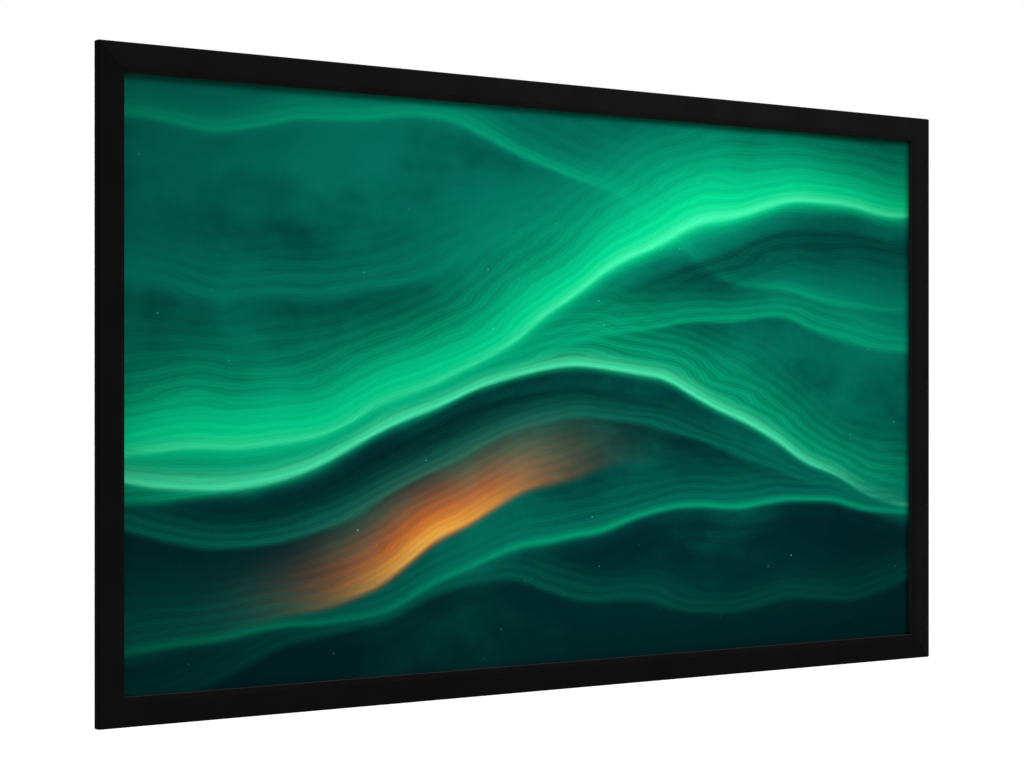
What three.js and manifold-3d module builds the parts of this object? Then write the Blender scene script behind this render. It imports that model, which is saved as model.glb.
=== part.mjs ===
import * as THREE from "three";
import { mergeVertices } from "three/addons/utils/BufferGeometryUtils.js";
import Module from "manifold-3d";

// Fixed frame projector screen: a velvet covered aluminium frame that holds a sheet of screen fabric
// flat under spring tension, with the brackets that hang it on a wall.
// Millimetres, +Z up. The picture faces -Y and the wall is behind it at +Y.
// The origin is the middle of the whole screen, from side to side, top to bottom and front to back.
// A frame section is drawn with two lengths: u runs inwards from the frame's outer edge and
// d runs back from its front face.

// Picture area that the border leaves open
const pictureWidth = 2214;
const pictureHeight = 1245;

// Border as it is seen
const borderWidth = 60;
const flatWidth = 48;
const bevelDrop = 4;
const screenSetback = 15.4;
const sideDepth = 17;
const edgeRadius = 4;
const cornerRadius = 4;

// Velvet cover, glued on and turned round both edges
const velvetThickness = 0.8;
const glueGap = 0.2;

// Aluminium rail: a front web, an outer flange, an inner nose and a channel behind the web.
// The channel has a closed chamber in front and a T-slot behind.
const wall = 2;
const channelInset = 10;
const channelWidth = 18;
const chamberWeb = 2.5;
const chamberDepth = 16.5;
const slotDepth = 6;
const lipReach = 5;

// Rib on the channel's inner wall that the springs hook into
const grooveWidth = 3.5;
const grooveDepth = 3.2;
const ribWall = 1.5;

// Screen fabric, its hem pockets and the rods in them
const fabricThickness = 0.4;
const noseCover = 3;
const cornerRelief = 7;
const rodRadius = 2;
const rodOverhang = 3;

// Tension springs
const springPitch = 200;
const springMargin = 30;
const coilRadius = 2.5;
const coilLength = 8;
const coilLead = 1;
const wireThickness = 1.2;
const pocketWindow = 12;

// Plates and clamp screws in the T-slot
const plateThickness = 3;
const cornerPlateLeg = 90;
const cornerScrewPlaces = [48, 76];
const splicePlateLength = 200;
const spliceScrewPlaces = [28, 80];
const clampShaftRadius = 2;
const clampHeadHeight = 2.2;
const clampSocketRadius = 1.5;
const clampSocketDepth = 1.3;

// Upright support bar behind the fabric
const barWidth = 20;
const barDepth = 7;
const barWall = 1;
const barClearance = 0.7;
const barBracketWidth = 60;
const barBracketThickness = 2;
const barStubLength = 25;
const barScrewSpacing = 40;
const barScrewShaftRadius = 1.5;
const barScrewHeadRadius = 2.9;
const barScrewHeadHeight = 2;
const barScrewSocketRadius = 1.2;
const barScrewSocketDepth = 1.1;

// Wall brackets
const bracketThickness = 2.5;
const bracketWallGap = 1.5;
const bracketLength = 110;
const bracketPlateHeight = 45;
const bracketSpacing = 1300;
const wallHoleRadius = 2.75;
const wallHoleSpacing = 70;

// Clearance between pieces that are cut, turned or slid next to each other
const clearance = 0.3;

// How far a cutting body runs past the piece that it cuts
const cutOverrun = 1;

// Numbers of flat faces that stand for round ones
const edgeSteps = 4;
const cornerSteps = 3;
const rodSides = 8;
const coilSides = 6;
const screwSides = 8;
const holeSides = 12;
const socketSides = 6;

// Sizes that follow
const outerWidth = pictureWidth + 2 * borderWidth;
const outerHeight = pictureHeight + 2 * borderWidth;
const skin = velvetThickness + glueGap;
const railDepth = skin + chamberWeb + chamberDepth + slotDepth + 2 * wall;
const totalDepth = railDepth + bracketWallGap + bracketThickness;
const frontFace = -totalDepth / 2;

const edgeCurve = Math.min(edgeRadius, channelInset, sideDepth / 2);
const cornerCurve = Math.min(cornerRadius, channelInset);
const bevelAngle = Math.atan2(bevelDrop, borderWidth - flatWidth);
const mitreSetback = clearance / Math.SQRT2;

const slotOuter = channelInset + wall;
const slotInner = slotOuter + channelWidth;
const slotMiddle = (slotOuter + slotInner) / 2;
const channelInner = slotInner + wall;
const slotBack = railDepth - wall;
const slotFloor = slotBack - slotDepth;
const chamberFront = skin + chamberWeb;
const chamberBack = slotFloor - wall;
const slotOpening = channelWidth - 2 * lipReach;

const pocketInner = rodRadius + clearance;
const pocketOuter = pocketInner + fabricThickness;
const rodDepth = screenSetback + pocketOuter;
const grooveEnd = channelInner + grooveWidth;
const ribEnd = grooveEnd + ribWall;
const ribTip = rodDepth - wireThickness / 2 - clearance;
const grooveFloor = ribTip - grooveDepth;
const ribFront = grooveFloor - ribWall;
const coilStart = ribEnd + coilLead;
const coilEnd = coilStart + coilLength;
const rodInset = coilEnd + coilLead + pocketOuter;
const fabricCornerInset = borderWidth - noseCover;
const pocketEndInset = fabricCornerInset + cornerRelief;

const plateFront = slotBack - plateThickness;
const clampShaftLength = slotBack - slotFloor - clearance;
const clampHeadRadius = slotOpening / 2 - clearance;
const barFront = rodDepth + pocketOuter + barClearance;
const barMiddle = barFront + barDepth / 2;
const barBracketInner = channelInner + barBracketThickness;

const library = await Module();
library.setup();

// Finishes
const blackVelvet = new THREE.MeshStandardMaterial({ color: 0x101011, roughness: 1 });
const blackAluminium = new THREE.MeshStandardMaterial({
  color: 0x26272a,
  roughness: 0.45,
  metalness: 0.8,
});
const screenFront = new THREE.MeshStandardMaterial({ color: 0x0f6f5e, roughness: 0.8 });
const zincSteel = new THREE.MeshStandardMaterial({
  color: 0xa9acae,
  roughness: 0.4,
  metalness: 0.9,
});
const springSteel = new THREE.MeshStandardMaterial({
  color: 0xc4c6c8,
  roughness: 0.3,
  metalness: 1,
});
const blackSteel = new THREE.MeshStandardMaterial({
  color: 0x1b1b1d,
  roughness: 0.5,
  metalness: 0.7,
});

// A closed geometry as a solid that can be joined and cut, without triangles that shrink to a line
function toSolid(geometry) {
  const bare = geometry.clone();
  bare.deleteAttribute("normal");
  bare.deleteAttribute("uv");
  const merged = mergeVertices(bare, 1e-3);
  const corners = merged.index.array;
  const triVerts = [];
  for (let i = 0; i < corners.length; i += 3) {
    const [a, b, c] = corners.slice(i, i + 3);
    if (a !== b && b !== c && c !== a) triVerts.push(a, b, c);
  }
  const mesh = new library.Mesh({
    numProp: 3,
    vertProperties: merged.getAttribute("position").array,
    triVerts: new Uint32Array(triVerts),
  });
  return new library.Manifold(mesh);
}

function toGeometry(solid) {
  const mesh = solid.getMesh();
  const indexed = new THREE.BufferGeometry();
  indexed.setAttribute("position", new THREE.BufferAttribute(mesh.vertProperties, 3));
  indexed.setIndex(new THREE.BufferAttribute(mesh.triVerts, 1));
  const faceted = indexed.toNonIndexed();
  faceted.computeVertexNormals();
  return faceted;
}

function joined(geometries) {
  const solids = geometries.map(toSolid);
  return toGeometry(solids.reduce((whole, next) => whole.add(next)));
}

function cut(geometry, tools) {
  const solid = tools.map(toSolid).reduce((rest, tool) => rest.subtract(tool), toSolid(geometry));
  return toGeometry(solid);
}

function shapeOf(points) {
  return new THREE.Shape(points.map(([x, y]) => new THREE.Vector2(x, y)));
}

// A body with one section all along. Its x runs along the rail, y back from the front face and z up,
// with z = 0 at the outer edge. Each station turns a section's u into a place along and inwards.
function sectionBody(outline, stations, openings = []) {
  const shape = shapeOf(outline);
  shape.holes.push(...openings.map(shapeOf));
  const steps = stations.length - 1;
  const geometry = new THREE.ExtrudeGeometry(shape, { depth: 1, steps, bevelEnabled: false });
  const position = geometry.getAttribute("position");
  for (let i = 0; i < position.count; i += 1) {
    const station = stations[Math.round(position.getZ(i) * steps)];
    const [along, inwards] = station(position.getX(i));
    position.setXYZ(i, along, position.getY(i), -inwards);
  }
  return toGeometry(toSolid(geometry));
}

const squareEnd = (along) => (u) => [along, u];
const mitreEnd = (along) => (u) => [along - u, u];

function straightBody(outline, from, to, openings) {
  return sectionBody(outline, [squareEnd(from), squareEnd(to)], openings);
}

// The stations round a mitred corner at +reach, from the end of the straight part to the mitre.
// Near the outer edge they follow the corner's radius. Further in they all lie on the mitre.
function mitreStations(reach) {
  const angles = Array.from({ length: cornerSteps + 1 }, (_, i) => (i * Math.PI) / 4 / cornerSteps);
  return angles.map((angle) => (u) => {
    const fromCentre = cornerCurve - u;
    const start = reach - mitreSetback - cornerCurve;
    return fromCentre > 0
      ? [start + fromCentre * Math.sin(angle), cornerCurve - fromCentre * Math.cos(angle)]
      : [start + fromCentre, u];
  });
}

// The same stations at the other end, where along is negative
function mirroredStations(stations) {
  const mirrored = stations.map((station) => (u) => {
    const [along, inwards] = station(u);
    return [-along, inwards];
  });
  return mirrored.reverse();
}

// A plate in the frame's plane, from a flat outline of (x, z), between two depths
function plateBody(outline, front, thickness, holes = []) {
  const shape = shapeOf(outline);
  shape.holes = holes.map(([x, z, radius]) => shapeOf(circlePoints(x, z, radius, holeSides)));
  const geometry = new THREE.ExtrudeGeometry(shape, { depth: thickness, bevelEnabled: false });
  geometry.rotateX(Math.PI / 2);
  geometry.translate(0, front + thickness, 0);
  return geometry;
}

function circlePoints(x, y, radius, sides) {
  const flat = radius / Math.cos(Math.PI / sides);
  return Array.from({ length: sides }, (_, i) => {
    const angle = ((i + 0.5) * 2 * Math.PI) / sides;
    return [x + flat * Math.cos(angle), y + flat * Math.sin(angle)];
  });
}

// A box between two places along, two depths and two distances inwards
function block([along0, along1], [depth0, depth1], [inwards0, inwards1]) {
  const size = [along1 - along0, depth1 - depth0, inwards1 - inwards0];
  const geometry = new THREE.BoxGeometry(...size);
  geometry.translate((along0 + along1) / 2, (depth0 + depth1) / 2, -(inwards0 + inwards1) / 2);
  return geometry;
}

// The line of the visible face, set inwards by an offset, from the flange's end to the nose's end
function facePath(offset, flangeEnd, noseEnd) {
  const radius = edgeCurve - offset;
  const corner = [];
  if (radius > 0) {
    for (let i = 0; i <= edgeSteps; i += 1) {
      const angle = (i * Math.PI) / 2 / edgeSteps;
      corner.push([edgeCurve - radius * Math.cos(angle), edgeCurve - radius * Math.sin(angle)]);
    }
  } else {
    corner.push([offset, offset]);
  }
  return [
    [offset, flangeEnd],
    ...corner,
    [flatWidth - offset * Math.tan(bevelAngle / 2), offset],
    [borderWidth - offset, bevelDepth(borderWidth - offset, offset)],
    [borderWidth - offset, noseEnd],
  ];
}

function bevelDepth(u, offset) {
  return (u - flatWidth) * Math.tan(bevelAngle) + offset / Math.cos(bevelAngle);
}

// Section of the aluminium rail
const velvetNoseEnd = screenSetback - clearance;
const flangeEnd = sideDepth - skin;
const noseEnd = velvetNoseEnd - skin;

function railOutline() {
  const web = skin + wall;
  const inside = facePath(web, flangeEnd, noseEnd).reverse();
  const noseSide = inside.slice(0, 3);
  const flangeSide = inside.slice(3);
  return [
    ...facePath(skin, flangeEnd, noseEnd),
    ...noseSide,
    [channelInner, web],
    [channelInner, ribFront],
    [ribEnd, ribFront],
    [ribEnd, ribTip],
    [grooveEnd, ribTip],
    [grooveEnd, grooveFloor],
    [channelInner, grooveFloor],
    [channelInner, railDepth],
    [slotInner - lipReach, railDepth],
    [slotInner - lipReach, slotBack],
    [slotInner, slotBack],
    [slotInner, slotFloor],
    [slotOuter, slotFloor],
    [slotOuter, slotBack],
    [slotOuter + lipReach, slotBack],
    [slotOuter + lipReach, railDepth],
    [channelInset, railDepth],
    [channelInset, web],
    ...flangeSide,
  ];
}

const chamberOutline = [
  [slotOuter, chamberFront],
  [slotInner, chamberFront],
  [slotInner, chamberBack],
  [slotOuter, chamberBack],
];

// Section of the velvet: round the outside and half way back along the inside of flange and nose
function velvetOutline() {
  const turnedU = 2 * skin + wall;
  const flangeTuck = (sideDepth + skin + wall) / 2;
  const noseTuck = (velvetNoseEnd + bevelDepth(borderWidth - turnedU, turnedU)) / 2;
  const faceSide = [
    [turnedU, flangeTuck],
    [turnedU, sideDepth],
    ...facePath(0, sideDepth, velvetNoseEnd),
    [borderWidth - turnedU, velvetNoseEnd],
    [borderWidth - turnedU, noseTuck],
  ];
  const t = velvetThickness;
  const glueSide = [
    [turnedU - t, flangeTuck],
    [turnedU - t, sideDepth - t],
    ...facePath(t, sideDepth - t, velvetNoseEnd - t),
    [borderWidth - turnedU + t, velvetNoseEnd - t],
    [borderWidth - turnedU + t, noseTuck],
  ];
  return [...faceSide, ...glueSide.reverse()];
}

// The four sides, turned about Y so that each one's outer edge faces out
const sides = [
  { name: "top", turn: 0, reach: outerWidth / 2, distance: outerHeight / 2, halves: true },
  { name: "right", turn: 1, reach: outerHeight / 2, distance: outerWidth / 2, halves: false },
  { name: "bottom", turn: 2, reach: outerWidth / 2, distance: outerHeight / 2, halves: true },
  { name: "left", turn: 3, reach: outerHeight / 2, distance: outerWidth / 2, halves: false },
];

function sideGroup({ turn, distance }) {
  const group = new THREE.Group();
  group.rotation.y = (turn * Math.PI) / 2;
  group.position.set(0, frontFace, distance).applyAxisAngle(new THREE.Vector3(0, 1, 0), group.rotation.y);
  group.updateMatrix();
  return group;
}

function addPiece(group, name, geometry, material) {
  const mesh = new THREE.Mesh(geometry, material);
  mesh.name = name;
  group.add(mesh);
  return mesh;
}

// A round body along y, from its section of radius and height
function turned(points) {
  return new THREE.LatheGeometry(shapeOf(points).getPoints(), screwSides);
}

// A screw with a flat head and a six-sided socket. The head sits on y = 0 and the shaft points to -y.
function screwGeometry(shaftRadius, shaftLength, headRadius, headHeight, socketRadius, socketDepth) {
  const body = turned([
    [0, -shaftLength],
    [shaftRadius, -shaftLength],
    [shaftRadius, 0],
    [headRadius, 0],
    [headRadius, headHeight],
    [0, headHeight],
  ]);
  const socket = new THREE.CylinderGeometry(socketRadius, socketRadius, 2 * socketDepth, socketSides);
  socket.translate(0, headHeight, 0);
  return cut(body, [socket]);
}

function clampScrew() {
  return screwGeometry(
    clampShaftRadius,
    clampShaftLength,
    clampHeadRadius,
    clampHeadHeight,
    clampSocketRadius,
    clampSocketDepth,
  );
}

function barScrew() {
  return screwGeometry(
    barScrewShaftRadius,
    barBracketThickness + wall - clearance,
    barScrewHeadRadius,
    barScrewHeadHeight,
    barScrewSocketRadius,
    barScrewSocketDepth,
  );
}

// Hole across a wall that faces inwards, for a support bar screw
function barScrewHole(along, from, to) {
  const radius = barScrewShaftRadius + clearance;
  const hole = new THREE.CylinderGeometry(radius, radius, to - from, holeSides);
  hole.rotateX(Math.PI / 2);
  hole.translate(along, barMiddle, -(from + to) / 2);
  return hole;
}

// The stretches that each side is made of. The top and bottom come in two halves that meet in the middle.
function stretchesOf({ name, reach, halves }) {
  const rightCorner = mitreStations(reach);
  const leftCorner = mirroredStations(rightCorner);
  const pastRight = mitreEnd(reach + cutOverrun);
  const [pastLeft] = mirroredStations([pastRight]);
  if (!halves) {
    const stations = [...leftCorner, ...rightCorner];
    return [{ rail: `${name}_stile`, stations, chamberStations: [pastLeft, pastRight], screws: [] }];
  }
  const gap = clearance / 2;
  const [first, second] = name === "top" ? ["left", "right"] : ["right", "left"];
  return [
    {
      rail: `${name}_rail_${first}`,
      stations: [...leftCorner, squareEnd(-gap)],
      chamberStations: [pastLeft, squareEnd(cutOverrun)],
      screws: [-barScrewSpacing / 2],
    },
    {
      rail: `${name}_rail_${second}`,
      stations: [squareEnd(gap), ...rightCorner],
      chamberStations: [squareEnd(-cutOverrun), pastRight],
      screws: [barScrewSpacing / 2],
    },
  ];
}

function addRails(group, side) {
  stretchesOf(side).forEach(({ rail, stations, chamberStations, screws }) => {
    const chamber = sectionBody(chamberOutline, chamberStations);
    const [outer, inner] = [slotInner - cutOverrun, channelInner + cutOverrun];
    const holes = screws.map((place) => barScrewHole(place, outer, inner));
    const body = cut(sectionBody(railOutline(), stations), [chamber, ...holes]);
    addPiece(group, rail, body, blackAluminium);
    addPiece(group, `${rail}_velvet`, sectionBody(velvetOutline(), stations), blackVelvet);
  });
}

// Places along a side where the springs pull, evenly spread and never in the middle
function springPlaces({ reach }) {
  const half = reach - pocketEndInset - springMargin;
  const count = 2 * Math.ceil(half / springPitch);
  return Array.from({ length: count }, (_, i) => half * ((2 * i) / (count - 1) - 1));
}

// A tension rod with its springs. Each spring's hook drops into the rib's groove.
function addTensionRod(group, side) {
  const end = side.reach - pocketEndInset + rodOverhang;
  const section = circlePoints(rodInset, rodDepth, rodRadius, rodSides);
  const parts = [straightBody(section, -end, end)];
  const half = wireThickness / 2;
  const wireDepth = [rodDepth - half, rodDepth + half];
  const hookInner = grooveEnd - clearance;
  const hookOuter = hookInner - wireThickness;
  springPlaces(side).forEach((place) => {
    const across = [place - half, place + half];
    const coil = new THREE.CylinderGeometry(coilRadius, coilRadius, coilLength, coilSides);
    coil.rotateX(Math.PI / 2);
    coil.translate(place, rodDepth, -(coilStart + coilEnd) / 2);
    parts.push(coil);
    parts.push(block(across, wireDepth, [hookOuter, coilStart + half]));
    parts.push(block(across, [grooveFloor + clearance, rodDepth], [hookOuter, hookInner]));
    parts.push(block(across, wireDepth, [coilEnd - half, rodInset]));
  });
  addPiece(group, `tension_rod_${side.name}`, joined(parts), springSteel);
}

// The sheet runs behind the nose all round. Its corners are notched so that the hems stay clear
// of each other, and each hem pocket has a window at every spring.
function screenFabric() {
  const x = outerWidth / 2;
  const z = outerHeight / 2;
  const notch = [
    [x - pocketEndInset, z - rodInset],
    [x - pocketEndInset, z - fabricCornerInset],
    [x - fabricCornerInset, z - fabricCornerInset],
    [x - fabricCornerInset, z - pocketEndInset],
    [x - rodInset, z - pocketEndInset],
  ];
  const quarters = [
    [1, 1],
    [1, -1],
    [-1, -1],
    [-1, 1],
  ];
  const outline = quarters.flatMap(([alongX, alongZ], i) => {
    const points = notch.map(([px, pz]) => [px * alongX, pz * alongZ]);
    return i % 2 ? points.reverse() : points;
  });
  const parts = [plateBody(outline, frontFace + screenSetback, fabricThickness)];
  const outer = circlePoints(rodInset, rodDepth, pocketOuter, rodSides);
  const inner = circlePoints(rodInset, rodDepth, pocketInner, rodSides);
  sides.forEach((side) => {
    const end = side.reach - pocketEndInset;
    const windows = springPlaces(side).map((place) => [place - pocketWindow / 2, place + pocketWindow / 2]);
    const edges = [-end, ...windows.flat(), end];
    for (let i = 0; i < edges.length; i += 2) {
      const pocket = straightBody(outer, edges[i], edges[i + 1], [inner]);
      parts.push(pocket.applyMatrix4(sideGroup(side).matrix));
    }
  });
  return joined(parts);
}

// A screw on a plate in the T-slot, with its head under the plate's back face
function addClampScrew(group, name, x, z) {
  const screw = addPiece(group, name, clampScrew(), blackSteel);
  screw.position.set(x, slotBack, z);
}

// The corner plates. Each group's x and -z point inwards along the two rails from the outer corner.
function addCorner(frame, name, turn, x, z) {
  const group = new THREE.Group();
  group.position.set(x, frontFace, z);
  group.rotation.y = (turn * Math.PI) / 2;
  const near = slotOuter + clearance;
  const far = slotInner - clearance;
  const screws = cornerScrewPlaces.flatMap((place) => [
    [place, -slotMiddle],
    [slotMiddle, -place],
  ]);
  const outline = [
    [near, -near],
    [cornerPlateLeg, -near],
    [cornerPlateLeg, -far],
    [far, -far],
    [far, -cornerPlateLeg],
    [near, -cornerPlateLeg],
  ];
  const holes = screws.map(([px, pz]) => [px, pz, clampShaftRadius + clearance]);
  const plate = plateBody(outline, plateFront, plateThickness, holes);
  addPiece(group, `corner_plate_${name}`, plate, zincSteel);
  screws.forEach(([px, pz], i) => addClampScrew(group, `corner_screw_${name}_${i + 1}`, px, pz));
  frame.add(group);
}

// The plate that joins two rail halves in the middle of the top or bottom side
function addSplice(group, side) {
  const half = splicePlateLength / 2;
  const near = -(slotOuter + clearance);
  const far = -(slotInner - clearance);
  const outline = [
    [-half, near],
    [half, near],
    [half, far],
    [-half, far],
  ];
  const places = spliceScrewPlaces.flatMap((place) => [-place, place]);
  const holes = places.map((place) => [place, -slotMiddle, clampShaftRadius + clearance]);
  const plate = plateBody(outline, plateFront, plateThickness, holes);
  addPiece(group, `splice_plate_${side.name}`, plate, zincSteel);
  places.forEach((place, i) => {
    addClampScrew(group, `splice_screw_${side.name}_${i + 1}`, place, -slotMiddle);
  });
}

// The bracket on the channel's inner wall that the support bar slides over, and its two screws
function addBarBracket(group, side) {
  const half = barBracketWidth / 2;
  const depths = [barMiddle - barDepth / 2, barMiddle + barDepth / 2];
  const stubWidth = barWidth / 2 - barWall - clearance;
  const stubDepth = barDepth / 2 - barWall - clearance;
  const flange = block([-half, half], depths, [channelInner, barBracketInner]);
  const stub = block(
    [-stubWidth, stubWidth],
    [barMiddle - stubDepth, barMiddle + stubDepth],
    [barBracketInner - barBracketThickness / 2, barBracketInner + barStubLength],
  );
  const places = [-barScrewSpacing / 2, barScrewSpacing / 2];
  const [outer, inner] = [channelInner - cutOverrun, barBracketInner + cutOverrun];
  const holes = places.map((place) => barScrewHole(place, outer, inner));
  const bracket = cut(joined([flange, stub]), holes);
  addPiece(group, `support_bar_bracket_${side.name}`, bracket, zincSteel);
  places.forEach((place, i) => {
    const screw = addPiece(group, `support_bar_screw_${side.name}_${i + 1}`, barScrew(), blackSteel);
    screw.position.set(place, barMiddle, -barBracketInner);
    screw.rotation.x = -Math.PI / 2;
  });
}

function supportBar() {
  const half = barWidth / 2;
  const end = outerHeight / 2 - barBracketInner - clearance;
  const ring = (w, d) => [
    [-w, barMiddle - d],
    [w, barMiddle - d],
    [w, barMiddle + d],
    [-w, barMiddle + d],
  ];
  const outline = ring(half, barDepth / 2);
  const bore = ring(half - barWall, barDepth / 2 - barWall);
  const bar = straightBody(outline, -end, end, [bore]);
  bar.rotateY(Math.PI / 2);
  bar.translate(0, frontFace, 0);
  return bar;
}

// Wall brackets. A tongue stands up in the T-slot in front of a lip, and the plate lies on the wall.
// The top bracket's plate hangs below its ledge and the bottom one's stands above it.
const tongueBack = slotBack - clearance;
const tongueFront = tongueBack - wall;
const bracketFront = totalDepth - bracketThickness;

function topBracketOutline() {
  const ledge = slotOuter + lipReach + clearance;
  return [
    [slotOuter + clearance, tongueFront],
    [slotOuter + clearance, tongueBack],
    [ledge, tongueBack],
    [ledge, totalDepth],
    [ledge + bracketPlateHeight, totalDepth],
    [ledge + bracketPlateHeight, bracketFront],
    [ledge + bracketThickness, bracketFront],
    [ledge + bracketThickness, tongueFront],
  ];
}

function bottomBracketOutline() {
  const ledge = slotInner - lipReach - clearance;
  const underside = ledge - bracketThickness;
  return [
    [underside, tongueFront],
    [slotInner - clearance, tongueFront],
    [slotInner - clearance, tongueBack],
    [ledge, tongueBack],
    [ledge, bracketFront],
    [underside + bracketPlateHeight, bracketFront],
    [underside + bracketPlateHeight, totalDepth],
    [underside, totalDepth],
  ];
}

function wallHole(along, inwards) {
  const hole = new THREE.CylinderGeometry(wallHoleRadius, wallHoleRadius, 4 * bracketThickness, holeSides);
  hole.translate(along, totalDepth, -inwards);
  return hole;
}

function addWallBrackets(group, side, outline) {
  const plateEnd = Math.max(...outline.map(([u]) => u));
  const holeRow = plateEnd - bracketPlateHeight / 2 + bracketThickness / 2;
  [-1, 1].forEach((hand) => {
    const middle = (hand * bracketSpacing) / 2;
    const end = (side.name === "top") === (hand > 0) ? "right" : "left";
    const body = straightBody(outline, middle - bracketLength / 2, middle + bracketLength / 2);
    const holes = [-wallHoleSpacing / 2, wallHoleSpacing / 2].map((x) => wallHole(middle + x, holeRow));
    addPiece(group, `wall_bracket_${side.name}_${end}`, cut(body, holes), zincSteel);
  });
}

// The whole screen
const screen = new THREE.Group();
screen.name = "projector_screen";

sides.forEach((side) => {
  const group = sideGroup(side);
  addRails(group, side);
  addTensionRod(group, side);
  if (side.halves) {
    addSplice(group, side);
    addBarBracket(group, side);
    addWallBrackets(group, side, side.name === "top" ? topBracketOutline() : bottomBracketOutline());
  }
  screen.add(group);
});

addCorner(screen, "top_left", 0, -outerWidth / 2, outerHeight / 2);
addCorner(screen, "top_right", 1, outerWidth / 2, outerHeight / 2);
addCorner(screen, "bottom_right", 2, outerWidth / 2, -outerHeight / 2);
addCorner(screen, "bottom_left", 3, -outerWidth / 2, -outerHeight / 2);

addPiece(screen, "support_bar", supportBar(), blackAluminium);
addPiece(screen, "screen_fabric", screenFabric(), screenFront);

export default screen;
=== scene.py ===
# Fixed frame projector screen, dressed around its frame. The front faces -Y and +Z is up.
import math

import bmesh
import bpy
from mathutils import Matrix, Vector


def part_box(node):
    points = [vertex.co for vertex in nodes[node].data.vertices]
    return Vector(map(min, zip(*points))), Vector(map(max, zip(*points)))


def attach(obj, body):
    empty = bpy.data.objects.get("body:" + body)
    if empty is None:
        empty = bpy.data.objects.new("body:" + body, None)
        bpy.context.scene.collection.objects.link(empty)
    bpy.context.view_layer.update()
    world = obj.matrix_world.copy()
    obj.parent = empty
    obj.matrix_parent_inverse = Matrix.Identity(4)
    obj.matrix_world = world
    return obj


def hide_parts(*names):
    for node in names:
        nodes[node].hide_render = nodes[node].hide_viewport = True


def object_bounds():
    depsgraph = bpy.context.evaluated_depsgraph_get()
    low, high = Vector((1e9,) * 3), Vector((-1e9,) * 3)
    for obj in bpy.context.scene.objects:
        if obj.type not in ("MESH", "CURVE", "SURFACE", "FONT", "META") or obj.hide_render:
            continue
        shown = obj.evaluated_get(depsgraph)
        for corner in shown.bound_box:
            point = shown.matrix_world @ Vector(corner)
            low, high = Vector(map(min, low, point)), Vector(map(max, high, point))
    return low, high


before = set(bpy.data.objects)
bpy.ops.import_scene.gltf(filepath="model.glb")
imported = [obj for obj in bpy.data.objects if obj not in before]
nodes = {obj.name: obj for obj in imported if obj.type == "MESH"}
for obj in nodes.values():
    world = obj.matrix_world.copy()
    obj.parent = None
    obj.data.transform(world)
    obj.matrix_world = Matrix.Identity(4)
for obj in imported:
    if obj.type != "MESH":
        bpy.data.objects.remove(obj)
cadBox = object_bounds()

mm = 0.001  # the pieces' dictionaries give their lengths in millimetres
outerWidth, totalDepth, outerHeight = [(high - low) / mm for low, high in zip(*cadBox)]
frontFace = -totalDepth / 2
sides = ["top", "right", "bottom", "left"]  # each is a quarter turn on from the last
print("frame loaded:", len(nodes), "nodes")


# Shader sums

class Shade:
    # wraps one socket, so that sums on it read as plain Python and add their own Math nodes
    def __init__(self, tree, socket=None):
        self.tree = tree
        self.socket = socket

    def node(self, kind, settings=None, sockets=None, output=0):
        made = self.tree.nodes.new(kind)
        for key, value in (settings or {}).items():
            setattr(made, key, value)
        for key, value in (sockets or {}).items():
            if isinstance(value, Shade):
                self.tree.links.new(value.socket, made.inputs[key])
            else:
                made.inputs[key].default_value = value
        return Shade(self.tree, made.outputs[output] if made.outputs else None)

    def math(self, operation, *values):
        return self.node("ShaderNodeMath", {"operation": operation}, dict(enumerate(values)))

    def __add__(self, other):
        return self.math("ADD", self, other)

    def __radd__(self, other):
        return self.math("ADD", other, self)

    def __sub__(self, other):
        return self.math("SUBTRACT", self, other)

    def __rsub__(self, other):
        return self.math("SUBTRACT", other, self)

    def __mul__(self, other):
        return self.math("MULTIPLY", self, other)

    def __rmul__(self, other):
        return self.math("MULTIPLY", other, self)

    def __truediv__(self, other):
        return self.math("DIVIDE", self, other)

    def __rtruediv__(self, other):
        return self.math("DIVIDE", other, self)

    def sine(self):
        return self.math("SINE", self)

    def clamped(self):
        return self.node("ShaderNodeClamp", {}, {0: self})

    def hump(self, width):  # 1 where the value is 0, and fading to both sides
        share = self / width
        return self.math("EXPONENT", share * share * -1)

    def risen(self, start, end):  # 0 before start, 1 after end, smooth between
        ease = {"interpolation_type": "SMOOTHSTEP"}
        return self.node("ShaderNodeMapRange", ease, {0: self, 1: start, 2: end})

    def blend(self, first, second):  # this value mixes two colours
        return self.node("ShaderNodeMix", {"data_type": "RGBA"}, {0: self, 6: first, 7: second}, 2)


def paint(red, green, blue):  # a colour picked on a display, from 0 to 255, as a linear one
    shares = [value / 255 for value in (red, green, blue)]
    linear = [v / 12.92 if v <= 0.04045 else ((v + 0.055) / 1.055) ** 2.4 for v in shares]
    return (*linear, 1.0)


def grey(level):
    return (level, level, level, 1.0)


def newMaterial(name):
    material = bpy.data.materials.new(name)
    material.use_nodes = True
    material.node_tree.nodes.clear()
    return material, Shade(material.node_tree)


def surface(shade, sockets):
    body = shade.node("ShaderNodeBsdfPrincipled", {}, sockets)
    shade.node("ShaderNodeOutputMaterial", {}, {"Surface": body})


def place(shade):  # position on the object, in metres
    return shade.node("ShaderNodeTexCoord", {}, {}, 3)


def axes(vector):  # its x, y and z
    parts = vector.node("ShaderNodeSeparateXYZ", {}, {0: vector})
    return [Shade(vector.tree, socket) for socket in parts.socket.node.outputs]


def noise(vector, scale, detail=2.0, roughness=0.5):
    sockets = {"Vector": vector, "Scale": scale, "Detail": detail, "Roughness": roughness}
    return vector.node("ShaderNodeTexNoise", {}, sockets)


def stretched(vector, factors):
    return vector.node("ShaderNodeVectorMath", {"operation": "MULTIPLY"}, {0: vector, 1: factors})


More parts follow.
